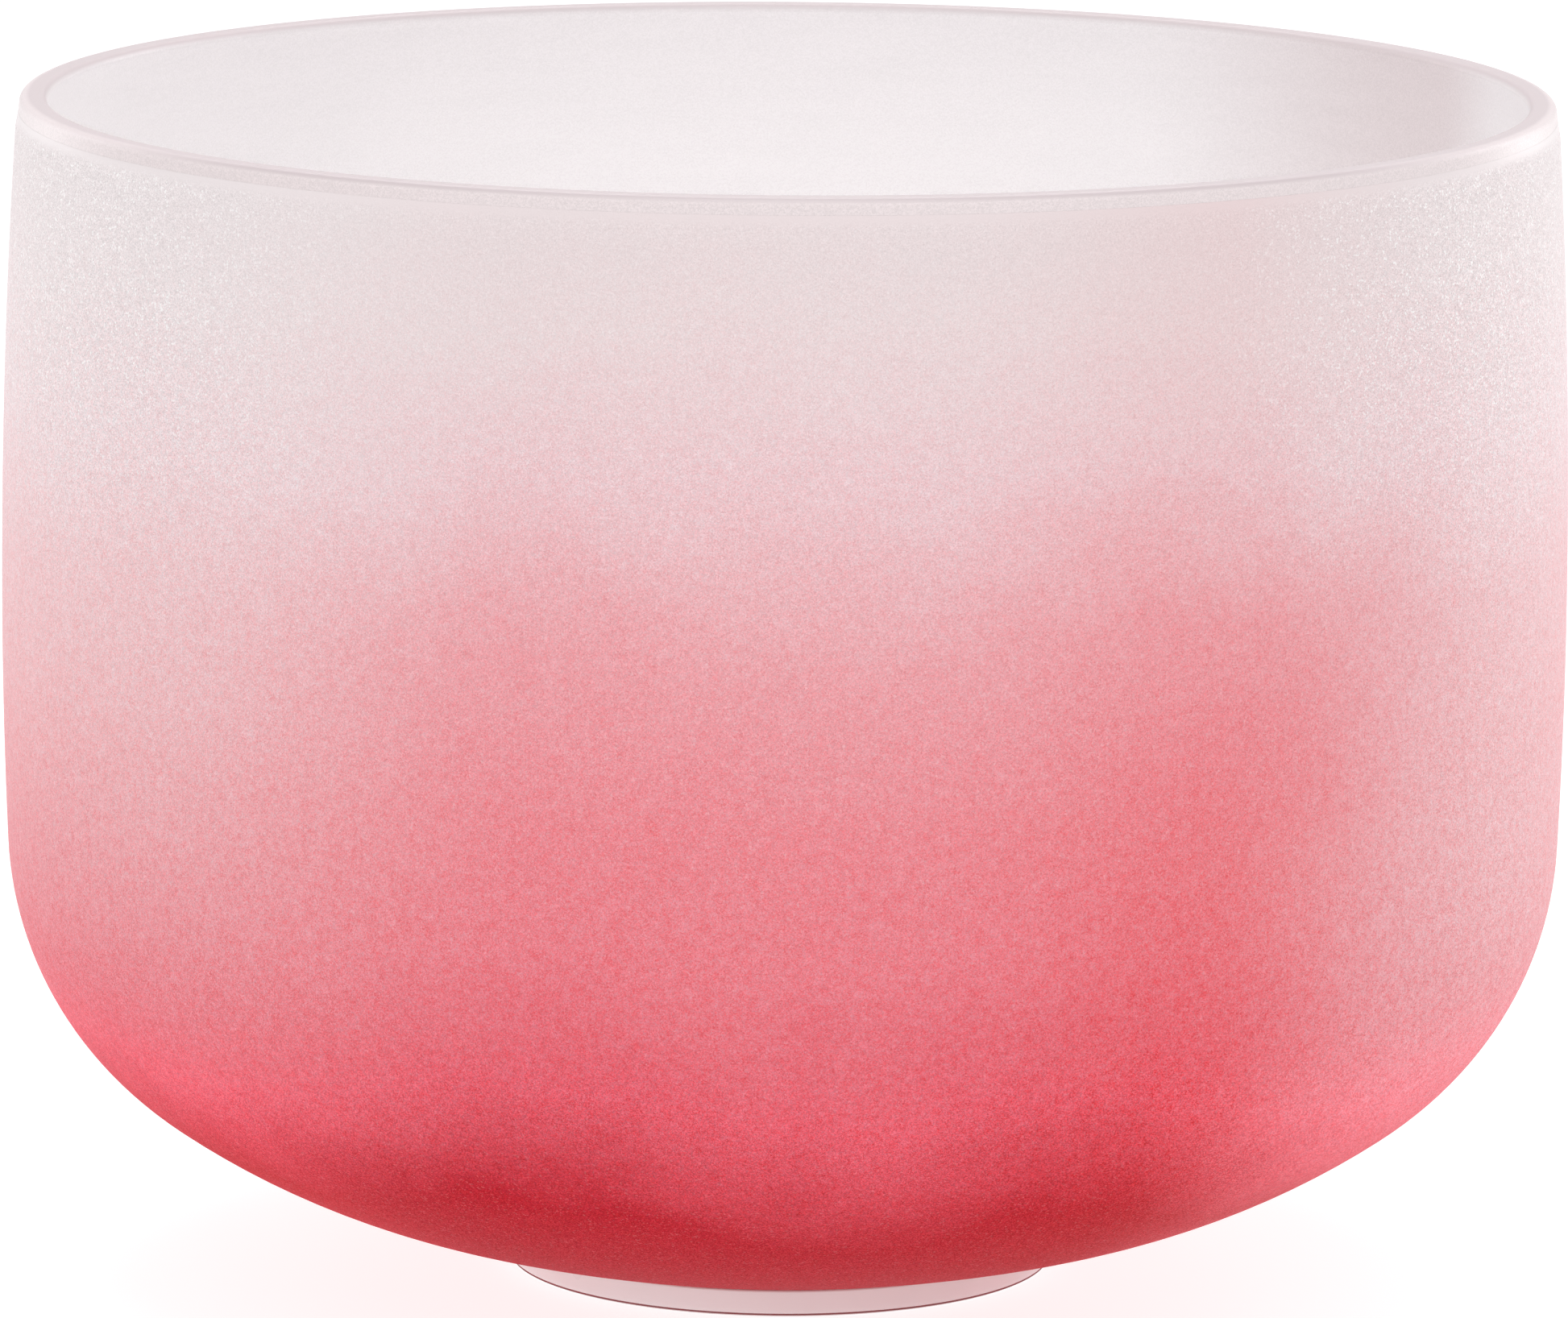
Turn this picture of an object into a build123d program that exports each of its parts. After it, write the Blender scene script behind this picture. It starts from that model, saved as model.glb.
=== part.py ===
from build123d import *

import math
import os
from collections import namedtuple

# A frosted quartz singing bowl on its silicone ring, in millimetres with +Z up.
# The origin is on the bowl's axis, on the surface that the ring stands on.

# Bowl, sizes over the coat
BOWL_DIAMETER = 254.0  # at the widest line, a little over half way up
BOWL_HEIGHT = 190.4  # from the lowest point of the bottom to the top of the lip
UPPER_WALL_ARC = 1199.0  # radius of the wall's slight inward lean above the widest line
LOWER_WALL_ARC = 946.0
SHOULDER_ARC = 55.0
LOWER_BOWL_ARC = 123.2
UNDERSIDE_ARC = 231.0
FOOT_ARC = 127.0

# Where each arc below the widest line ends, in degrees from upright
LOWER_WALL_END = 2.35
SHOULDER_END = 54.5
LOWER_BOWL_END = 72.95
UNDERSIDE_END = 78.0
FOOT_END = 85.5

# Wall, coat and lip
WALL = 4.9  # quartz and coat together
COAT = 0.35
LIP_BAND = 2.6  # height of the bare, polished band above the coat
LIP_OUTER_ROUND = 1.3
LIP_INNER_ROUND = 1.2

# Ring under the bowl
RING_DIAMETER = 88.4
RING_WIDTH = 10.0  # from its outer wall to its inner wall
BOTTOM_CLEARANCE = 1.9  # under the bowl's lowest point
SEAT_GAP = 0.25  # between the ring's dished top and the bowl
RING_FOOT_ROUND = 0.8
RING_SEAT_ROUND = 0.5

BELOW_WIDEST = (
    (LOWER_WALL_ARC, LOWER_WALL_END),
    (SHOULDER_ARC, SHOULDER_END),
    (LOWER_BOWL_ARC, LOWER_BOWL_END),
    (UNDERSIDE_ARC, UNDERSIDE_END),
    (FOOT_ARC, FOOT_END),
)
LIP_TOP = BOTTOM_CLEARANCE + BOWL_HEIGHT
COAT_TOP = LIP_TOP - LIP_BAND

Arc = namedtuple("Arc", "centre radius start end")  # start and end in degrees from upright


def outward(slope):
    """Outward direction in the half section where the wall leans by slope degrees."""
    return Vector(math.cos(math.radians(slope)), -math.sin(math.radians(slope)))


def arcs_below_widest():
    """Tangent arcs of the outside, from the widest line inwards to the axis."""
    point, slope, arcs = Vector(BOWL_DIAMETER / 2, 0), 0.0, []
    for radius, end in BELOW_WIDEST:
        centre = point - outward(slope) * radius
        arcs.append(Arc(centre, radius, slope, end))
        point, slope = centre + outward(end) * radius, end
    radius = point.X / outward(slope).X  # the bottom's own arc is centred on the axis
    arcs.append(Arc(point - outward(slope) * radius, radius, slope, 90.0))
    lift = Vector(0, BOTTOM_CLEARANCE + radius - arcs[-1].centre.Y)
    return [arc._replace(centre=arc.centre + lift) for arc in arcs]


LOWER_ARCS = arcs_below_widest()
WIDEST_HEIGHT = LOWER_ARCS[0].centre.Y


def outline(inset, top):
    """Half outline of the bowl's outside, set in by a depth, from a height to the axis."""
    upper = UPPER_WALL_ARC - inset
    centre = Vector(BOWL_DIAMETER / 2 - UPPER_WALL_ARC, WIDEST_HEIGHT)
    rise = math.degrees(math.asin((top - WIDEST_HEIGHT) / upper))
    edges = [CenterArc(centre, upper, 0, rise)]
    for arc in LOWER_ARCS:
        turn = arc.start - arc.end
        edges.append(CenterArc(arc.centre, arc.radius - inset, -arc.start, turn))
    start = Vector(centre.X + math.sqrt(upper**2 - (top - WIDEST_HEIGHT) ** 2), top)
    end = Vector(0, BOTTOM_CLEARANCE + inset)
    return edges, start, end


def spun(section):
    """Solid of revolution of a half section drawn with X outwards and Y upwards."""
    return revolve(Plane.XZ * section, Axis.Z)


def shell_section(outer_inset, inner_inset, top):
    """Half section of a shell between two depths under the bowl's outside."""
    outer, outer_top, outer_pole = outline(outer_inset, top)
    inner, inner_top, inner_pole = outline(inner_inset, top)
    return make_face(outer + inner + [Line(outer_top, inner_top), Line(outer_pole, inner_pole)])


def crystal_bowl():
    """Quartz vessel with a flat, ground lip."""
    section = shell_section(COAT, WALL, LIP_TOP)
    lip = section.vertices().sort_by(Axis.Y)[-2:].sort_by(Axis.X)
    section = fillet(lip[0], LIP_INNER_ROUND)
    outer_corner = section.vertices().group_by(Axis.Y)[-1].sort_by(Axis.X)[-1]
    return spun(fillet(outer_corner, LIP_OUTER_ROUND))


def colour_frost_coat():
    """Coloured, frosted layer fused to the whole outside below the lip's polished band."""
    return spun(shell_section(0, COAT, COAT_TOP))


def silicone_ring():
    """Ring whose dished top follows the bowl's underside."""
    outer = RING_DIAMETER / 2
    around_bowl, rim, pole = outline(-SEAT_GAP, LIP_TOP)
    bowl_space = make_face(around_bowl + [Line(rim, (0, LIP_TOP)), Line((0, LIP_TOP), pole)])
    blank = Pos(outer - RING_WIDTH, 0) * Rectangle(
        RING_WIDTH, WIDEST_HEIGHT / 2, align=(Align.MIN, Align.MIN)
    )
    section = blank - bowl_space
    section = fillet(section.vertices().group_by(Axis.Y)[0], RING_FOOT_ROUND)
    inner_corner = section.vertices().group_by(Axis.X)[0].sort_by(Axis.Y)[-1]
    section = fillet(inner_corner, RING_SEAT_ROUND)
    outer_corner = section.vertices().group_by(Axis.X)[-1].sort_by(Axis.Y)[-1]
    return spun(fillet(outer_corner, RING_SEAT_ROUND))


PIECES = {
    "crystal_bowl": crystal_bowl,
    "colour_frost_coat": colour_frost_coat,
    "silicone_ring": silicone_ring,
}

os.makedirs("parts", exist_ok=True)
for node, make in PIECES.items():
    export_step(make(), f"parts/{node}.step")
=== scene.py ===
"""A frosted quartz singing bowl on its silicone ring, finished around its CAD frame."""

import math

import bmesh
import bpy
from bpy.props import FloatProperty, FloatVectorProperty, IntProperty, PointerProperty
from mathutils import Matrix, Vector


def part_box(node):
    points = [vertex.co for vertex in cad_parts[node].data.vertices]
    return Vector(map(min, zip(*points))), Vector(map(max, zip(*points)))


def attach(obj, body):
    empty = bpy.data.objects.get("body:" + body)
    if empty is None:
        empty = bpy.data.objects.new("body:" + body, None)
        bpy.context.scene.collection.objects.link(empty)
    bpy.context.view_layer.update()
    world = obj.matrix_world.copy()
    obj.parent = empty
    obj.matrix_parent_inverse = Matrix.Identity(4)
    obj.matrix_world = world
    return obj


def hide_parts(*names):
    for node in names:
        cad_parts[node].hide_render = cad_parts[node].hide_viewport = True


bl_info = {
    "name": "Frosted Singing Bowl",
    "version": (1, 0, 0),
    "blender": (4, 5, 0),
    "location": "3D View > Sidebar > Singing Bowl",
    "description": "Builds a frosted quartz singing bowl, its silicone ring and a small studio",
    "category": "Add Mesh",
}

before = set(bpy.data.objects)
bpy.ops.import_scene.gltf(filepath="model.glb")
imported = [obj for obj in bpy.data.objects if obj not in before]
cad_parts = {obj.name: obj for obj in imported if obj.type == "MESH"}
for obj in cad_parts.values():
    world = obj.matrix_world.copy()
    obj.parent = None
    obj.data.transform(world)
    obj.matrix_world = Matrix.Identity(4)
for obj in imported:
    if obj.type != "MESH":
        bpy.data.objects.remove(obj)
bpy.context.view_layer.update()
COAT_LOW, COAT_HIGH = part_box("colour_frost_coat")
QUARTZ_LOW, QUARTZ_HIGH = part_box("crystal_bowl")
RING_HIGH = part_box("silicone_ring")[1]

MM = 0.001
ACROSS = Vector((0.0, 1.0, 0.0))  # turns a half section drawn in the XZ plane
AXIS = Vector((0.0, 0.0, 1.0))
CENTRE = Vector((0.0, 0.0, 0.0))
WELD = 1e-7  # vertices closer than this are one
NEAR = 1e-5  # lengths closer than this are the same


# Properties that a user would change


def length(name, description, default):
    return FloatProperty(name=name, description=description, default=default, min=0.0,
                         subtype="DISTANCE", unit="LENGTH", precision=5)


def angle(name, description, degrees):
    return FloatProperty(name=name, description=description, default=math.radians(degrees),
                         subtype="ANGLE", unit="ROTATION")


def colour(name, description, default):
    return FloatVectorProperty(name=name, description=description, default=default,
                               min=0.0, max=1.0, size=3, subtype="COLOR")


def share(name, description, default, top=1.0):
    return FloatProperty(name=name, description=description, default=default, min=0.0, max=top)


def power(name, description, watts):
    return FloatProperty(name=name, description=description, default=watts, min=0.0,
                         subtype="POWER", unit="POWER")


class BowlShape(bpy.types.PropertyGroup):
    """Outside shape of the bowl, as tangent arcs from the lip down to the axis."""

    radius: length("Radius", "Outside radius at the widest line", COAT_HIGH.x)
    lip_height: length("Lip height", "Top of the lip over the table", QUARTZ_HIGH.z)
    coat_height: length("Coat height", "Top of the frosting over the table", COAT_HIGH.z)
    bottom_height: length("Bottom height", "Lowest point over the table", COAT_LOW.z)
    wall: length("Wall", "Quartz and frosting together", 4.9 * MM)
    coat: length("Coat", "Thickness of the frosting", QUARTZ_LOW.z - COAT_LOW.z)
    feather: length("Feather", "Height over which the frosting's top edge thins out", 2.6 * MM)
    feather_edge: length("Feather edge", "Thickness left at the frosting's top edge", 0.02 * MM)
    lip_outer: length("Outer lip round", "Rounding of the lip's outer edge", 1.3 * MM)
    lip_inner: length("Inner lip round", "Rounding of the lip's inner edge", 1.2 * MM)
    upper_wall: length("Upper wall arc", "Arc above the widest line", 1199 * MM)
    lower_wall: length("Lower wall arc", "Arc just under the widest line", 946 * MM)
    shoulder: length("Shoulder arc", "Tight arc where the wall turns in", 55 * MM)
    lower_bowl: length("Lower bowl arc", "Arc under the shoulder", 123.2 * MM)
    underside: length("Underside arc", "Shallow arc outside the ring", 231 * MM)
    foot: length("Foot arc", "Arc over the ring", 127 * MM)
    lower_wall_end: angle("Lower wall end", "Lean where the lower wall ends", 2.35)
    shoulder_end: angle("Shoulder end", "Lean where the shoulder ends", 54.5)
    lower_bowl_end: angle("Lower bowl end", "Lean where the lower bowl ends", 72.95)
    underside_end: angle("Underside end", "Lean where the underside ends", 78.0)
    foot_end: angle("Foot end", "Lean where the foot arc ends", 85.5)
    segments: IntProperty(name="Segments", description="Steps round the axis", default=288, min=24)


class RingShape(bpy.types.PropertyGroup):
    """Silicone ring under the bowl."""

    radius: length("Radius", "Outside radius", RING_HIGH.x)
    width: length("Width", "From the outer wall to the inner wall", 10 * MM)
    seat_gap: length("Seat gap", "Between the dished top and the bowl", 0.25 * MM)
    foot_round: length("Foot round", "Rounding of the lower edges", 0.8 * MM)
    seat_round: length("Seat round", "Rounding of the upper edges", 0.5 * MM)


class FrostLook(bpy.types.PropertyGroup):
    """Colour and grain of the frosted coat, its heights as shares from bottom to top."""

    lip_white: colour("Lip white", "At the top of the coat", (0.785, 0.70, 0.708))
    pearl: colour("Pearl", "A little under the lip", (0.81, 0.675, 0.686))
    blush: colour("Blush", "Where white turns pink", (0.83, 0.575, 0.605))
    rose: colour("Rose", "In the middle of the fade", (0.835, 0.355, 0.39))
    coral: colour("Coral", "Across the body", (0.835, 0.253, 0.29))
    scarlet: colour("Scarlet", "Down the body", (0.825, 0.21, 0.25))
    red: colour("Red", "Round the shoulder", (0.77, 0.112, 0.152))
    deep_red: colour("Deep red", "Under the bowl", (0.45, 0.002, 0.014))
    pearl_height: share("Pearl height", "Height of the pearl", 0.90)
    blush_height: share("Blush height", "Height of the blush", 0.77)
    rose_height: share("Rose height", "Height of the rose", 0.64)
    coral_height: share("Coral height", "Height of the coral", 0.50)
    scarlet_height: share("Scarlet height", "Height of the scarlet", 0.37)
    red_height: share("Red height", "Height of the red", 0.24)
    deep_height: share("Deep red height", "Height where the deep red starts", 0.12)
    # Painted sheen: the coat turns paler towards the left and right edges of the front
    painted_sheen_colour: colour("Bloom", "Pale overspray on the bowl's left and right", (0.90, 0.86, 0.87))
    left_painted_sheen: share("Left bloom", "How much the overspray on the left hides", 0.42)
    right_painted_sheen: share("Right bloom", "How much the overspray on the right hides", 0.40)
    # Painted shade: the colour is darker in a band right of the middle of the front
    streak: share("Streak", "How much deeper the colour is in a streak on the right", 0.20)
    grain: length("Grain", "Size of one frosted grain", 0.17 * MM)
    mottle: length("Mottle", "Size of the fine mottling", 1.6 * MM)
    cloud: length("Cloud", "Size of the soft clouds in the fade", 70 * MM)
    drift: length("Drift", "How far the clouds move the fade up and down", 16 * MM)
    roughness: share("Roughness", "Roughness of the grains", 0.62)
    sparkle: share("Sparkle", "Share of the grains that glint", 0.06)


class QuartzLook(bpy.types.PropertyGroup):
    """Bare quartz of the inside and the lip."""

    white: colour("White", "Inside, near the lip", (0.985, 0.98, 0.985))
    lip: colour("Lip", "Flat top of the lip", (0.56, 0.485, 0.50))
    edge: colour("Edge", "Eased inner edge of the lip", (0.78, 0.735, 0.745))
    band: colour("Band", "Bare band between the lip and the frosting", (0.79, 0.705, 0.713))
    rim: colour("Rim", "Inside, just under the lip", (0.935, 0.915, 0.925))
    glow: colour("Glow", "Inside the lower wall", (0.95, 0.925, 0.93))
    bottom: colour("Bottom", "Inside of the bottom, with the coat showing through",
                   (0.84, 0.74, 0.75))
    grain: length("Grain", "Size of one grain of the satin", 0.20 * MM)
    satin: share("Satin", "Roughness of the inside", 0.38)
    polish: share("Polish", "Roughness of the lip", 0.42)


class SiliconeLook(bpy.types.PropertyGroup):
    """Clear, milky silicone of the ring."""

    # Painted light: the ring is whiter on the left, where the light falls, and pinker towards the
    # right
    milk: colour("Milk", "Colour of the silicone on the left", (0.965, 0.955, 0.96))
    blush: colour("Blush", "Colour of the silicone on the right", (0.86, 0.74, 0.75))
    # Painted shade along the foot, where the ring meets the table
    seam: colour("Seam", "Dust line where the ring meets the table", (0.62, 0.46, 0.46))
    roughness: share("Roughness", "Roughness of the moulded faces", 0.30)


class Studio(bpy.types.PropertyGroup):
    """Camera, floor and lights."""

    camera_distance: length("Camera distance", "From the bowl's axis", 1.778)
    camera_height: length("Camera height", "Over the floor", 0.4216)
    camera_pitch: angle("Camera pitch", "Downwards from level", 10.27)
    camera_roll: angle("Camera roll", "Anticlockwise seen from behind", 0.42)
    lens: FloatProperty(name="Lens", description="Focal length in millimetres", default=254.7)
    floor_radius: length("Floor radius", "Reach of the pale floor", 6.0)
    floor_white: colour("Floor white", "Colour of the floor", (0.32, 0.32, 0.32))
    floor_glow: share("Floor glow", "Light given off by the floor", 0.84)
    sky: share("Sky", "Strength of the white surroundings", 0.64, 5.0)
    left_box: power("Left softbox", "Behind the bowl on the left", 1.4)
    right_box: power("Right softbox", "Behind the bowl on the right", 2.2)
    front_box: power("Front softbox", "High over the front", 6.0)
    rear_box: power("Rear softbox", "High over the back", 4.0)


# Shader maths


class Value:
    """A shader socket that can be used in Python arithmetic."""

    def __init__(self, graph, socket):
        self.graph, self.socket = graph, socket

    def math(self, operation, *others):
        return self.graph.node("ShaderNodeMath", {"operation": operation}, self, *others)

    def __add__(self, other):
        return self.math("ADD", other)

    def __sub__(self, other):
        return self.math("SUBTRACT", other)

    def __rsub__(self, other):
        return self.graph.node("ShaderNodeMath", {"operation": "SUBTRACT"}, other, self)

    def __mul__(self, other):
        return self.math("MULTIPLY", other)

    def __truediv__(self, other):
        return self.math("DIVIDE", other)

    def __gt__(self, other):
        return self.math("GREATER_THAN", other)

    __radd__, __rmul__ = __add__, __mul__

    def step(self, low, high):
        """0 under low, 1 over high, and smooth between them."""
        settings = {"interpolation_type": "SMOOTHSTEP"}
        return self.graph.node("ShaderNodeMapRange", settings, self, low, high)

    def step_under(self, top, start, end):
        """As step, with its two ends given as depths under a top."""
        return self.step(top - start, top - end)


class Graph:
    """One material's nodes, made in the order in which they are used."""

    def __init__(self, name):
        self.material = bpy.data.materials.new(name)
        self.material.use_nodes = True
        self.tree = self.material.node_tree
        self.tree.nodes.clear()

    def node(self, kind, settings, *inputs, out=0, **named):
        """Adds a node, sets it up, then gives its sockets their values or links."""
        made = self.tree.nodes.new(kind)
        for key, value in settings.items():
            if key == "stops":
                self.set_stops(made.color_ramp, value)
            else:
                setattr(made, key, value)
        sockets = dict(enumerate(inputs))
        sockets.update({key.replace("_", " "): value for key, value in named.items()})
        for key, value in sockets.items():
            if isinstance(value, Value):
                self.tree.links.new(value.socket, made.inputs[key])
            elif value is not None:
                made.inputs[key].default_value = value
        return Value(self, made.outputs[out]) if made.outputs else made

    @staticmethod
    def set_stops(ramp, stops):
        while len(ramp.elements) < len(stops):
            ramp.elements.new(1.0)
        for element, (position, rgb) in zip(ramp.elements, stops):
            element.position = position
            element.color = (*rgb, 1.0)

    def coordinates(self):
        return self.node("ShaderNodeTexCoord", {}, out="Object")

    def part(self, vector, axis):
        return self.node("ShaderNodeSeparateXYZ", {}, vector, out=axis)

    def around(self, place):
        """Distance from the bowl's axis."""
        flat = self.vector("MULTIPLY", place, (1.0, 1.0, 0.0))
        return self.vector("LENGTH", flat, out="Value")

    def noise(self, vector, size, detail=2.0, roughness=0.5):
        """Soft noise from 0 to 1, about a half."""
        return self.node("ShaderNodeTexNoise", {}, out="Fac", Vector=vector, Scale=1 / size,
                         Detail=detail, Roughness=roughness)

    def grains(self, vector, size):
        """A colour of its own for each grain, its channels unrelated."""
        return self.node("ShaderNodeTexVoronoi", {}, out="Color", Vector=vector, Scale=1 / size)

    def vector(self, operation, *inputs, out=0, **named):
        settings = {"operation": operation}
        return self.node("ShaderNodeVectorMath", settings, *inputs, out=out, **named)

    def scaled(self, vector, factor):
        return self.vector("SCALE", vector, Scale=factor)

    def mix(self, factor, first, second, blend="MIX"):
        made = self.tree.nodes.new("ShaderNodeMix")
        made.data_type, made.blend_type = "RGBA", blend
        for socket, value in ((0, factor), (6, first), (7, second)):
            if isinstance(value, Value):
                self.tree.links.new(value.socket, made.inputs[socket])
            else:
                plain = value if socket == 0 else (*value, 1.0)
                made.inputs[socket].default_value = plain
        return Value(self, made.outputs[2])

    def surface(self, **sockets):
        """Ends the material in one Principled shader."""
        shader = self.node("ShaderNodeBsdfPrincipled", {}, **sockets)
        self.node("ShaderNodeOutputMaterial", {}, shader)
        return self.material


# Mesh work


def outward(lean):
    """Direction in the XZ plane that faces out of a wall leaning by an angle from upright."""
    return Vector((math.cos(lean), 0.0, -math.sin(lean)))


def outside_arcs(shape):
    """(centre, radius, lean at the start, lean at the end) of each arc under the widest line."""
    point, lean, arcs = Vector((shape.radius, 0.0, 0.0)), 0.0, []
    for radius, end in (
        (shape.lower_wall, shape.lower_wall_end),
        (shape.shoulder, shape.shoulder_end),
        (shape.lower_bowl, shape.lower_bowl_end),
        (shape.underside, shape.underside_end),
        (shape.foot, shape.foot_end),
    ):
        centre = point - outward(lean) * radius
        arcs.append((centre, radius, lean, end))
        point, lean = centre + outward(end) * radius, end
    radius = point.x / outward(lean).x
    centre = point - outward(lean) * radius
    lift = Vector((0.0, 0.0, shape.bottom_height + radius - centre.z))
    arcs.append((centre, radius, lean, math.pi / 2))
    return [(middle + lift, size, start, end) for middle, size, start, end in arcs]


class Section:
    """A half section drawn by carrying one vertex along lines and arcs, then spun."""

    def __init__(self, x, z):
        self.bm = bmesh.new()
        self.tip = self.bm.verts.new((x, 0.0, z))

    def line(self, x, z):
        made = bmesh.ops.extrude_vert_indiv(self.bm, verts=[self.tip])
        self.tip = made["verts"][0]
        self.tip.co = (x, 0.0, z)

    def arc(self, centre, turn, steps):
        """Carries the tip round a centre; a positive turn runs from up towards outwards."""
        made = bmesh.ops.spin(self.bm, geom=[self.tip], cent=centre, axis=ACROSS, angle=turn,
                              steps=steps, use_duplicate=False)
        self.tip = [part for part in made["geom_last"] if isinstance(part, bmesh.types.BMVert)][0]

    def close(self):
        self.bm.verts.ensure_lookup_table()
        self.bm.edges.new((self.tip, self.bm.verts[0]))

    def spun(self, segments):
        """Spins the section once round the axis into a closed shell."""
        bm = self.bm
        bmesh.ops.spin(bm, geom=bm.verts[:] + bm.edges[:], cent=CENTRE, axis=AXIS,
                       angle=math.tau, steps=segments, use_merge=True)
        bmesh.ops.remove_doubles(bm, verts=bm.verts, dist=WELD)
        bmesh.ops.recalc_face_normals(bm, faces=bm.faces)
        for face in bm.faces:
            face.smooth = True
        return bm


def finished(name, bm, material):
    """Object at the origin that holds a finished mesh."""
    mesh = bpy.data.meshes.new(name)
    bm.to_mesh(mesh)
    bm.free()
    mesh.materials.append(material)
    piece = bpy.data.objects.new(name, mesh)
    bpy.context.scene.collection.objects.link(piece)
    piece.modifiers.new("Even shading", "WEIGHTED_NORMAL")
    return piece


def register_piece(piece, body, node):
    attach(piece, body)
    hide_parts(node)


def upper_centre(shape, arcs):
    """Centre of the arc above the widest line."""
    return Vector((shape.radius - shape.upper_wall, 0.0, arcs[0][0].z))


def wall_radius(shape, arcs, inset, height):
    """Radius of the upper wall at a height, set in by a depth."""
    centre = upper_centre(shape, arcs)
    reach = shape.upper_wall - inset
    return centre.x + math.sqrt(reach**2 - (height - centre.z) ** 2)


WALL_STEPS = (28, 14, 26, 12, 6, 6, 8)  # upper wall, then each lower arc
LIP_STEPS = 8
SEAT_STEPS = 12
ROUND_STEPS = 6


def down_outside(section, shape, arcs, inset, height):
    """Carries a section from a height on the upper wall down to the axis."""
    centre = upper_centre(shape, arcs)
    rise = math.asin((height - centre.z) / (shape.upper_wall - inset))
    section.arc(centre, rise, WALL_STEPS[0])
    for (middle, _, start, end), steps in zip(arcs, WALL_STEPS[1:]):
        section.arc(middle, end - start, steps)


def up_inside(section, shape, arcs, inset, height):
    """Carries a section from the axis out and up to a height on the upper wall."""
    for (middle, _, start, end), steps in zip(reversed(arcs), reversed(WALL_STEPS[1:])):
        section.arc(middle, start - end, steps)
    centre = upper_centre(shape, arcs)
    rise = math.asin((height - centre.z) / (shape.upper_wall - inset))
    section.arc(centre, -rise, WALL_STEPS[0])


def quartz_shell(shape):
    """Quartz vessel with a flat lip and rounded lip edges."""
    arcs = outside_arcs(shape)
    centre = upper_centre(shape, arcs)
    section = Section(0.0, shape.bottom_height + shape.wall)

    height = shape.lip_height - shape.lip_inner
    reach = shape.upper_wall - shape.wall + shape.lip_inner
    lean = math.asin((height - centre.z) / reach)
    inner_round = Vector((centre.x + reach * math.cos(lean), 0.0, height))
    touch = centre.z + (reach - shape.lip_inner) * math.sin(lean)
    up_inside(section, shape, arcs, shape.wall, touch)
    section.arc(inner_round, math.pi / 2 + lean, LIP_STEPS)

    height = shape.lip_height - shape.lip_outer
    reach = shape.upper_wall - shape.coat - shape.lip_outer
    lean = math.asin((height - centre.z) / reach)
    outer_round = Vector((centre.x + reach * math.cos(lean), 0.0, height))
    section.line(outer_round.x, shape.lip_height)
    section.arc(outer_round, math.pi / 2 - lean, LIP_STEPS)
    touch = centre.z + (reach + shape.lip_outer) * math.sin(lean)
    down_outside(section, shape, arcs, shape.coat, touch)
    return section.spun(shape.segments)


def coat_shell(shape):
    """Frosted coat over the whole outside, thinning out at its top edge."""
    arcs = outside_arcs(shape)
    section = Section(0.0, shape.bottom_height + shape.coat)
    up_inside(section, shape, arcs, shape.coat, shape.coat_height)
    inner = wall_radius(shape, arcs, shape.coat, shape.coat_height)
    section.line(inner + shape.feather_edge, shape.coat_height)
    start = shape.coat_height - shape.feather
    section.line(wall_radius(shape, arcs, 0.0, start), start)
    down_outside(section, shape, arcs, 0.0, start)
    return section.spun(shape.segments)


def ring_shell(shape, ring):
    """Ring with a dished seat that follows the bowl's foot arc, and rounded edges."""
    centre, radius, _, _ = outside_arcs(shape)[4]
    reach = radius + ring.seat_gap
    inner = ring.radius - ring.width
    section = Section(inner, 0.0)
    lean = [math.acos((x - centre.x) / reach) for x in (inner, ring.radius)]
    section.line(inner, centre.z - reach * math.sin(lean[0]))
    section.arc(centre, lean[1] - lean[0], SEAT_STEPS)
    section.line(ring.radius, 0.0)
    section.close()
    bm = section.spun(shape.segments)
    for rounding, low in ((ring.foot_round, True), (ring.seat_round, False)):
        corners = [edge for edge in bm.edges if is_corner(edge, inner, ring.radius, low)]
        bmesh.ops.bevel(bm, geom=corners, offset=rounding, offset_type="OFFSET",
                        segments=ROUND_STEPS, profile=0.5, affect="EDGES", material=-1)
    for face in bm.faces:
        face.smooth = True
    return bm


def is_corner(edge, inner, outer, low):
    """True for an edge round the ring's inner or outer wall, at its foot or at its seat."""
    first, last = (vert.co for vert in edge.verts)
    if abs(first.z - last.z) > NEAR or (first.z < NEAR) != low:
        return False
    reach = [math.hypot(co.x, co.y) for co in (first, last)]
    return any(all(abs(r - wall) < NEAR for r in reach) for wall in (inner, outer))


# Materials

AXIS_GUARD = 0.5 * MM  # added to a distance from the axis before dividing by it

# Where the frosting's paint, and the light and shade painted on it, change. Across runs from 0
# at the middle of the front to 1 at the left and right edges, heights are over the table, and
# levels are shares of the coat.
BACK_FADE = (0.0, 0.7)  # from the left and right edges towards the back
WISP_SIZE = 0.22  # of a cloud
CLOUD_DRIFT, WISP_DRIFT = 1.6, 0.6  # of the drift
CLOUD_SWAY = 0.18  # how far a cloud moves the painted edges across
HOLLOW_RISE, HOLLOW_FALL = (0.08, 0.36), (0.45, 0.72)  # across, two places of deeper red
HOLLOW_HEIGHT = (50 * MM, 95 * MM)
HOLLOW_DEPTH = 6 * MM
# Painted sheen, paler towards the left and right edges, where grazing light falls
LEFT_ACROSS, LEFT_HEIGHT = (0.28, 0.82), (35 * MM, 125 * MM)
RIGHT_ACROSS, RIGHT_HEIGHT = (0.48, 0.96), (14 * MM, 90 * MM)
RIGHT_FOOT = 0.15  # share of the right painted sheen that reaches the bottom
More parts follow.
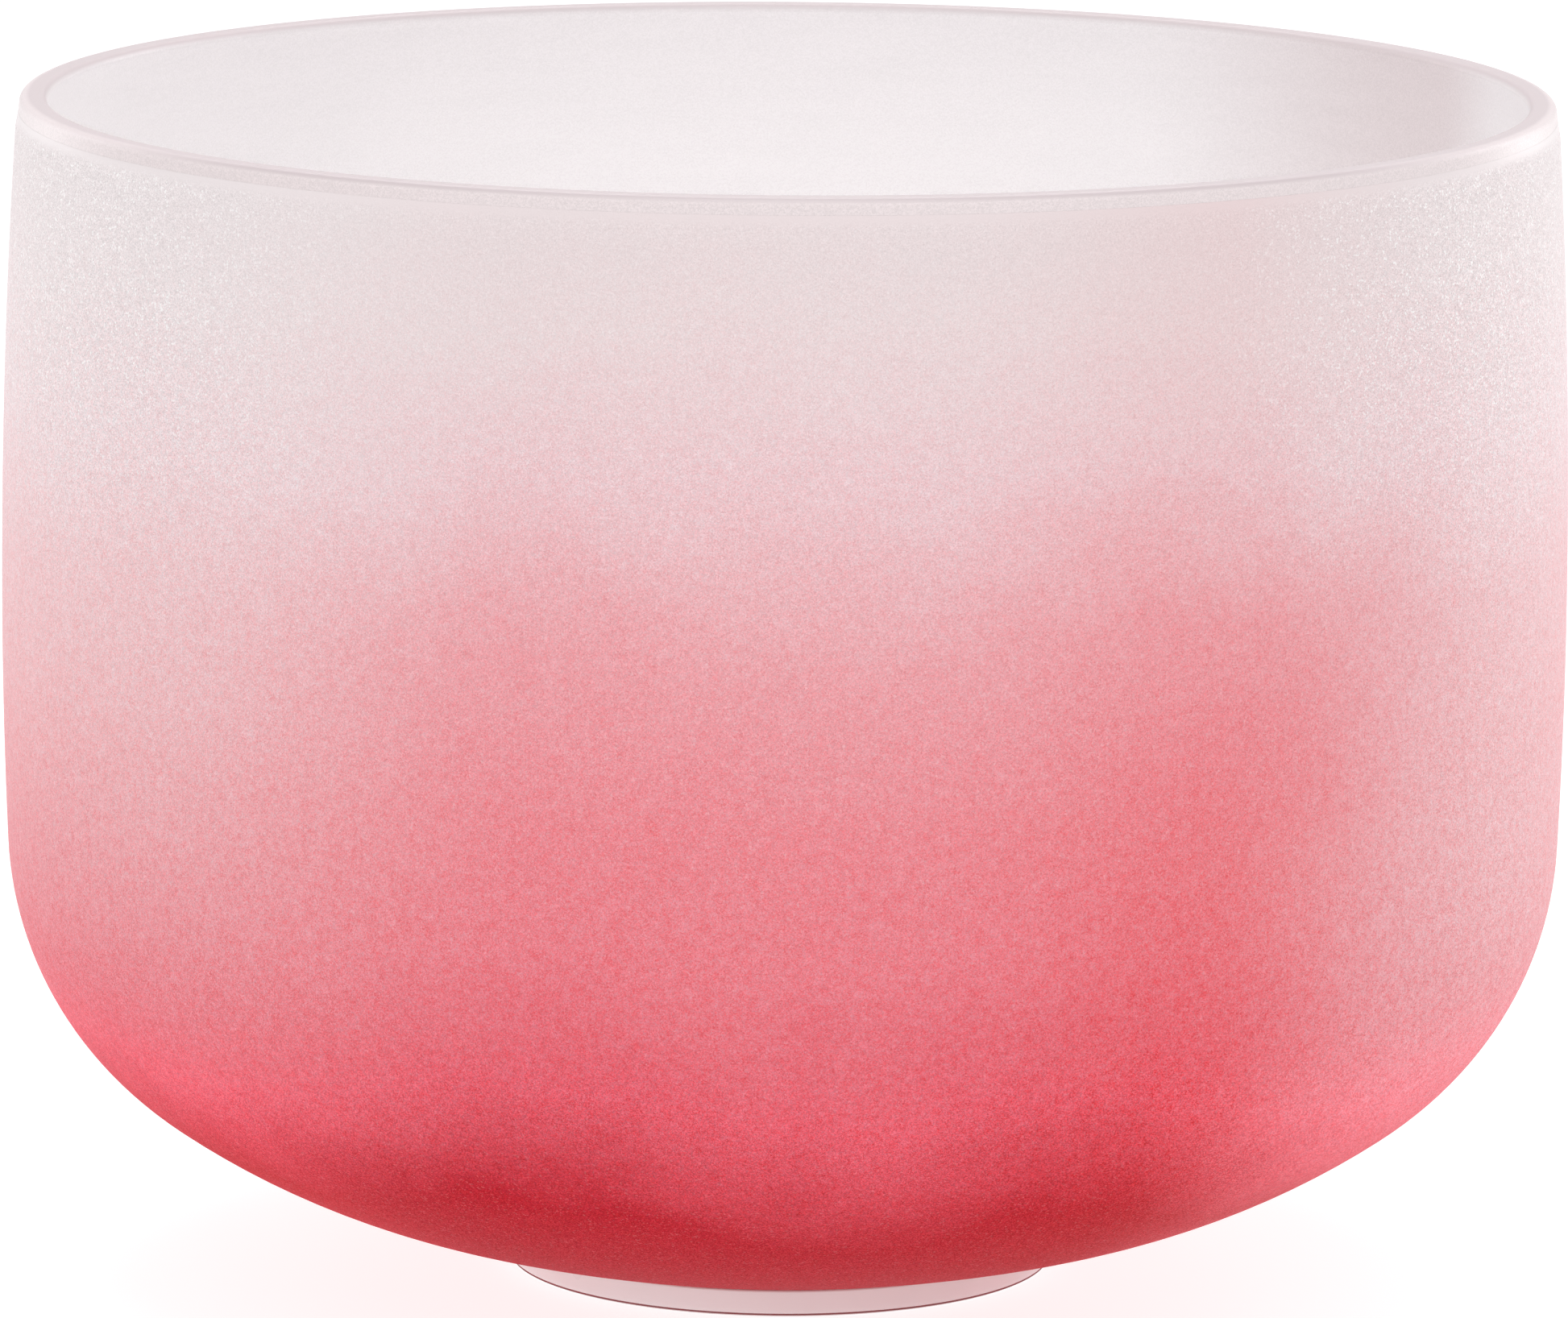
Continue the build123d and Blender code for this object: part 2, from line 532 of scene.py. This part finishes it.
# Painted shade: a darker band right of the middle of the front, where the light falls off
CORE_SHADE_RISE, CORE_SHADE_FALL = (0.16, 0.54), (0.52, 0.78)
CORE_SHADE_HEIGHT, CORE_SHADE_FADE = (78 * MM, 118 * MM), 0.65
RIM_LIGHT_ACROSS, RIM_LIGHT_HEIGHT = (0.50, 0.85), (25 * MM, 60 * MM)
RIM_LIGHT_TINT = (0.24, 0.06, 0.14)  # painted rim light, added to red, green and blue low down on both sides
GLARE_ACROSS, GLARE_LEVEL = (0.45, 0.85), (0.60, 0.90)  # where the grains glint most; the glints are painted white into the colour there
BARE_EDGE = (2.2 * MM, 0.3 * MM)  # under the coat's top, where the grain ends

# Depth of the grain at the top, what the body adds, and what the bottom adds
GRAIN_TOP, GRAIN_BODY, GRAIN_BOTTOM, GRAIN_GLARE = 0.10, 0.15, 0.40, 0.20
BODY_LEVEL, BOTTOM_LEVEL = (0.70, 1.0), (0.10, 0.36)
PICK_TINT, MOTTLE_TINT, MOTTLE_SHADE = 0.9, 1.4, 0.08
GLINT_LOW, GLINT_BODY, GLINT_GLARE = 0.04, 0.06, 0.75
GLINT_LEVEL = (0.2, 0.6)
GLINT_WHITE = (1.0, 0.98, 0.98)
FLAKE_SIZE, FACET_TILT, FINE_SIZE = 1.8, 0.45, 1.6  # flakes and fine bump are shares of a grain


def frost_fade(g, look, shape, height, away, cloud, wisp):
    """Height as a share of the coat, moved by clouds, and the colour that goes with it."""
    hollow = away.step(*HOLLOW_RISE) * (1.0 - away.step(*HOLLOW_FALL))
    hollow = hollow * (1.0 - height.step(*HOLLOW_HEIGHT))
    drifted = height + cloud * (CLOUD_DRIFT * look.drift) + wisp * (WISP_DRIFT * look.drift)
    low, high = shape.bottom_height, shape.coat_height
    level = (drifted - hollow * HOLLOW_DEPTH - low) / (high - low)
    stops = [
        (look.deep_height, look.deep_red),
        (look.red_height, look.red),
        (look.scarlet_height, look.scarlet),
        (look.coral_height, look.coral),
        (look.rose_height, look.rose),
        (look.blush_height, look.blush),
        (look.pearl_height, look.pearl),
        (1.0, look.lip_white),
    ]
    return level, g.node("ShaderNodeValToRGB", {"stops": stops}, level)


def painted_sheen(look, height, across):
    """How much the pale painted sheen on the left and right hides."""
    left = (0.0 - across).step(*LEFT_ACROSS) * look.left_painted_sheen * height.step(*LEFT_HEIGHT)
    rise = RIGHT_FOOT + height.step(*RIGHT_HEIGHT) * (1.0 - RIGHT_FOOT)
    return left + across.step(*RIGHT_ACROSS) * rise * look.right_painted_sheen


def frost_material(look, shape):
    """Fused, grainy frosting that fades from white at the lip to deep red underneath."""
    g = Graph("colour_frost")
    place = g.coordinates()
    height = g.part(place, "Z")
    around = g.around(place) + AXIS_GUARD
    reach = g.part(place, "X") / around
    away = reach.math("ABSOLUTE")
    front = 1.0 - (g.part(place, "Y") / around).step(*BACK_FADE)
    cloud = g.noise(place, look.cloud, detail=3.0) - 0.5
    wisp = g.noise(place, look.cloud * WISP_SIZE, detail=3.0) - 0.5
    level, fade = frost_fade(g, look, shape, height, away, cloud, wisp)
    across = reach + cloud * CLOUD_SWAY
    # Painted sheen: the fade turns paler towards the left and right edges of the front
    fade_under_painted_sheen = g.mix(painted_sheen(look, height, across) * front, fade, look.painted_sheen_colour)

    cells = g.grains(place, look.grain)
    pick, tone = g.part(cells, "X") - 0.5, g.part(cells, "Y") - 0.5
    mottle = g.noise(place, look.mottle, detail=4.0, roughness=0.7) - 0.5
    bare = height.step_under(shape.coat_height, *BARE_EDGE)
    frosted = 1.0 - bare
    dense = (1.0 - level) * frosted
    glare = away.step(*GLARE_ACROSS) * level.step(*GLARE_LEVEL)
    depth = GRAIN_TOP + (1.0 - level.step(*BODY_LEVEL)) * GRAIN_BODY
    depth = depth + (1.0 - level.step(*BOTTOM_LEVEL)) * GRAIN_BOTTOM + glare * GRAIN_GLARE
    shade = 1.0 + frosted * tone * depth + mottle * dense * MOTTLE_SHADE

    # Painted shade: a darker band right of the middle of the front, fading towards the top
    streak = across.step(*CORE_SHADE_RISE) * (1.0 - across.step(*CORE_SHADE_FALL)) * look.streak
    streak = streak * front * (1.0 - height.step(*CORE_SHADE_HEIGHT) * CORE_SHADE_FADE)
    pigment = shade + dense * (pick * PICK_TINT + mottle * MOTTLE_TINT) - streak
    # Painted rim light: brighter red low down at the left and right of the front
    painted_rim_light = away.step(*RIM_LIGHT_ACROSS) * (1.0 - height.step(*RIM_LIGHT_HEIGHT)) * front
    tint = g.node("ShaderNodeCombineXYZ", {}, shade + painted_rim_light * RIM_LIGHT_TINT[0],
                  pigment + painted_rim_light * RIM_LIGHT_TINT[1], pigment + painted_rim_light * RIM_LIGHT_TINT[2])
    grainy = g.mix(1.0, fade_under_painted_sheen, tint, "MULTIPLY")
    flakes = g.part(g.grains(place, look.grain * FLAKE_SIZE), "X")
    glint = (flakes > 1.0 - look.sparkle) * frosted
    # Painted glints: glinting grains are mixed towards white in the colour, most at the upper left
    # and right
    painted_glint = glint * (GLINT_LOW + level.step(*GLINT_LEVEL) * GLINT_BODY + glare * GLINT_GLARE)

    tilt = g.scaled(g.vector("SUBTRACT", cells, (0.5, 0.5, 0.5)), frosted * FACET_TILT)
    normal = g.node("ShaderNodeNewGeometry", {}, out="Normal")
    facets = g.vector("NORMALIZE", g.vector("ADD", normal, tilt))
    fine = g.noise(place, look.grain * FINE_SIZE)
    bump = g.node("ShaderNodeBump", {}, Strength=0.35, Distance=0.12 * MM, Height=fine,
                  Normal=facets)
    rough = look.roughness - glint * (0.10 + glare * 0.24) - bare * 0.3
    return g.surface(Base_Color=g.mix(painted_glint, grainy, GLINT_WHITE), Roughness=rough,
                     Normal=bump, Specular_IOR_Level=0.10)


# Where the bare quartz changes: radii are set in from the widest line, heights are under
# the top of the lip, and sideways is X over the radius
BAND_EDGE = (5.2 * MM, 4.2 * MM)
ROUND_EDGE = (4.9 * MM, 3.7 * MM)
LIP_EDGE = (1.0 * MM, 0.2 * MM)
EASED_EDGE = (1.5 * MM, 0.7 * MM)
ROUND_SIDEWAYS, ROUND_LIGHT = (0.60, 0.95), 0.7  # painted light: paler outer round at the left and right
INNER_SHADE_RISE, INNER_SHADE_FALL = (0.45, 0.85), (0.85, 0.93)  # painted shade: greyer inside on the right
INNER_SHADE_RED, INNER_SHADE_COOL = 0.14, 0.20  # taken from red, and from green and blue
HAZE_SIZE, HAZE_DRIFT = 60 * MM, 16 * MM


def quartz_material(look, shape):
    """Satin white inside, ground lip, and a little of the coat's colour low down."""
    g = Graph("satin_quartz")
    place = g.coordinates()
    height = g.part(place, "Z")
    around = g.around(place)
    side = g.part(place, "X") / shape.radius
    outer = around.step_under(shape.radius, *BAND_EDGE)
    rounded = around.step_under(shape.radius, *ROUND_EDGE)
    # Painted light: the lip's outer round is paler at the left and right
    painted_round_light = side.math("ABSOLUTE").step(*ROUND_SIDEWAYS) * ROUND_LIGHT
    lip = height.step_under(shape.lip_height, *LIP_EDGE) * (1.0 - rounded * painted_round_light)
    eased = height.step_under(shape.lip_height, *EASED_EDGE)

    haze = g.noise(place, HAZE_SIZE, detail=3.0) - 0.5
    level = (height + haze * HAZE_DRIFT) / shape.lip_height
    stops = [
        (0.05, look.bottom),
        (0.35, look.glow),
        (0.70, look.white),
        (0.86, look.white),
        (1.0, look.rim),
    ]
    inside = g.node("ShaderNodeValToRGB", {"stops": stops}, level)
    edged = g.mix(outer, g.mix(eased, inside, look.edge), look.band)

    stretched = g.vector("MULTIPLY", place, (1.0, 1.0, 9.0))
    streak = g.noise(stretched, 24 * MM, detail=3.0) - 0.5
    grain = g.part(g.grains(place, look.grain), "X") - 0.5
    shade = 1.0 + streak * 0.05 + grain * (0.09 + outer * 0.06) * (1.0 - lip)
    # Painted shade: the inside is greyer towards the right
    painted_inner_shade = side.step(*INNER_SHADE_RISE) * (1.0 - side.step(*INNER_SHADE_FALL)) * (1.0 - outer)
    cool = shade - painted_inner_shade * INNER_SHADE_COOL
    tint = g.node("ShaderNodeCombineXYZ", {}, shade - painted_inner_shade * INNER_SHADE_RED, cool, cool)
    colour_out = g.mix(lip, g.mix(1.0, edged, tint, "MULTIPLY"), look.lip)

    ripple = g.noise(place, 3.0 * MM, detail=3.0)
    bump = g.node("ShaderNodeBump", {}, Strength=0.12, Distance=0.15 * MM, Height=ripple)
    rough = look.satin + (look.polish - look.satin) * lip + streak * 0.08
    return g.surface(Base_Color=colour_out, Roughness=rough, Normal=bump, Specular_IOR_Level=0.3)


FOOT_SHADE_HEIGHT = (0.1 * MM, 0.6 * MM)
PAINTED_LIGHT_SIDEWAYS = (-0.9, 0.9)  # X over the ring's radius, across which the painted light runs from left to right


def silicone_material(look, ring):
    """Milky moulded silicone with a soft shine."""
    g = Graph("clear_silicone")
    place = g.coordinates()
    milk = g.noise(place, 9 * MM, detail=3.0) - 0.5
    shade = 1.0 + milk * 0.05
    tone = g.node("ShaderNodeCombineXYZ", {}, shade, shade, shade)
    # Painted shade: darker along the ring's foot
    seam = 1.0 - g.part(place, "Z").step(*FOOT_SHADE_HEIGHT)
    sideways = g.part(place, "X") / ring.radius
    # Painted light: whiter on the left and pinker towards the right
    milk_with_painted_light = g.mix(sideways.step(*PAINTED_LIGHT_SIDEWAYS), look.milk, look.blush)
    colour_out = g.mix(1.0, g.mix(seam, milk_with_painted_light, look.seam), tone, "MULTIPLY")
    skin = g.noise(place, 0.8 * MM)
    bump = g.node("ShaderNodeBump", {}, Strength=0.08, Distance=0.1 * MM, Height=skin)
    rough = look.roughness + milk * 0.12
    return g.surface(Base_Color=colour_out, Roughness=rough, Normal=bump)


# Operators


class BuildQuartz(bpy.types.Operator):
    """Build the quartz vessel with its satin inside and ground lip"""

    bl_idname = "singing_bowl.quartz"
    bl_label = "Quartz Vessel"

    def execute(self, context):
        shape = context.scene.bowl_shape
        material = quartz_material(context.scene.quartz_look, shape)
        piece = finished("quartz_vessel", quartz_shell(shape), material)
        register_piece(piece, "bowl", "crystal_bowl")
        return {"FINISHED"}


class BuildCoat(bpy.types.Operator):
    """Build the coloured frosted coat over the bowl's outside"""

    bl_idname = "singing_bowl.coat"
    bl_label = "Frosted Coat"

    def execute(self, context):
        shape = context.scene.bowl_shape
        material = frost_material(context.scene.frost_look, shape)
        piece = finished("frosted_coat", coat_shell(shape), material)
        register_piece(piece, "bowl", "colour_frost_coat")
        return {"FINISHED"}


class BuildRing(bpy.types.Operator):
    """Build the silicone ring that the bowl rests on"""

    bl_idname = "singing_bowl.ring"
    bl_label = "Silicone Ring"

    def execute(self, context):
        material = silicone_material(context.scene.silicone_look, context.scene.ring_shape)
        shell = ring_shell(context.scene.bowl_shape, context.scene.ring_shape)
        piece = finished("silicone_support_ring", shell, material)
        register_piece(piece, "ring", "silicone_ring")
        return {"FINISHED"}


# Each softbox's name, the property that holds its power, its place, and its two sizes
SOFTBOXES = (
    ("left_softbox", "left_box", (-0.75, 0.70, 0.35), (0.3, 0.7)),
    ("right_softbox", "right_box", (0.75, 0.70, 0.35), (0.3, 0.7)),
    ("front_softbox", "front_box", (0.0, -0.35, 1.2), (0.6, 0.4)),
    ("rear_softbox", "rear_box", (0.0, 0.6, 1.0), (0.8, 0.5)),
)
SOFTBOX_AIM = Vector((0.0, 0.0, 0.1))
SENSOR_WIDTH = 36.0  # millimetres
FLOOR_SIDES = 96
FLOOR_SINK = 0.05 * MM  # keeps the floor clear of the ring's flat foot
WHITE = (1.0, 1.0, 1.0, 1.0)


class BuildStudio(bpy.types.Operator):
    """Set up the camera, the pale floor and the soft lights"""

    bl_idname = "singing_bowl.studio"
    bl_label = "Studio"

    def execute(self, context):
        studio = context.scene.studio
        self.camera(context, studio)
        self.floor(context, studio)
        self.sky(context, studio)
        for name, prop, place, size in SOFTBOXES:
            self.softbox(context, name, place, size, getattr(studio, prop))
        context.scene.view_settings.view_transform = "Standard"
        return {"FINISHED"}

    def camera(self, context, studio):
        data = bpy.data.cameras.new("camera")
        data.lens, data.sensor_width = studio.lens, SENSOR_WIDTH
        camera = bpy.data.objects.new("camera", data)
        context.scene.collection.objects.link(camera)
        place = Matrix.Translation((0.0, -studio.camera_distance, studio.camera_height))
        pitch = Matrix.Rotation(math.pi / 2 - studio.camera_pitch, 4, "X")
        camera.matrix_world = place @ pitch @ Matrix.Rotation(studio.camera_roll, 4, "Z")
        context.scene.camera = camera

    def floor(self, context, studio):
        g = Graph("floor_paint")
        speck = g.noise(g.coordinates(), 0.4)
        material = g.surface(Base_Color=(*studio.floor_white, 1.0), Roughness=0.6 + speck * 0.1,
                             Emission_Color=WHITE, Emission_Strength=studio.floor_glow)
        bm = bmesh.new()
        bmesh.ops.create_circle(bm, cap_ends=True, segments=FLOOR_SIDES,
                                radius=studio.floor_radius)
        bmesh.ops.translate(bm, verts=bm.verts, vec=(0.0, 0.0, -FLOOR_SINK))
        mesh = bpy.data.meshes.new("floor")
        bm.to_mesh(mesh)
        bm.free()
        mesh.materials.append(material)
        floor = bpy.data.objects.new("floor", mesh)
        context.scene.collection.objects.link(floor)

    def sky(self, context, studio):
        world = bpy.data.worlds.new("white_surroundings")
        world.use_nodes = True
        background = world.node_tree.nodes["Background"]
        background.inputs["Color"].default_value = WHITE
        background.inputs["Strength"].default_value = studio.sky
        context.scene.world = world

    def softbox(self, context, name, place, size, watts):
        data = bpy.data.lights.new(name, "AREA")
        data.shape, data.size, data.size_y, data.energy = "RECTANGLE", *size, watts
        lamp = bpy.data.objects.new(name, data)
        context.scene.collection.objects.link(lamp)
        aim = SOFTBOX_AIM - Vector(place)
        turn = aim.to_track_quat("-Z", "Y").to_matrix().to_4x4()
        lamp.matrix_world = Matrix.Translation(place) @ turn


class SingingBowlPanel(bpy.types.Panel):
    """Lists the pieces and their settings"""

    bl_label = "Singing Bowl"
    bl_idname = "VIEW3D_PT_singing_bowl"
    bl_space_type = "VIEW_3D"
    bl_region_type = "UI"
    bl_category = "Singing Bowl"

    def draw(self, context):
        for operator in OPERATORS:
            self.layout.operator(operator.bl_idname)
        for name, group in GROUPS.items():
            box = self.layout.box()
            box.label(text=group.__doc__.split(",")[0].rstrip("."))
            for prop in group.__annotations__:
                box.prop(getattr(context.scene, name), prop)


GROUPS = {
    "bowl_shape": BowlShape,
    "ring_shape": RingShape,
    "frost_look": FrostLook,
    "quartz_look": QuartzLook,
    "silicone_look": SiliconeLook,
    "studio": Studio,
}
OPERATORS = (BuildQuartz, BuildCoat, BuildRing, BuildStudio)


def register():
    for entry in (*GROUPS.values(), *OPERATORS, SingingBowlPanel):
        bpy.utils.register_class(entry)
    for name, group in GROUPS.items():
        setattr(bpy.types.Scene, name, PointerProperty(type=group))


def unregister():
    for name in GROUPS:
        delattr(bpy.types.Scene, name)
    for entry in reversed((*GROUPS.values(), *OPERATORS, SingingBowlPanel)):
        bpy.utils.unregister_class(entry)


def main():
    register()
    for operator in OPERATORS:
        group, name = operator.bl_idname.split(".")
        getattr(getattr(bpy.ops, group), name)()


if __name__ == "__main__":
    main()
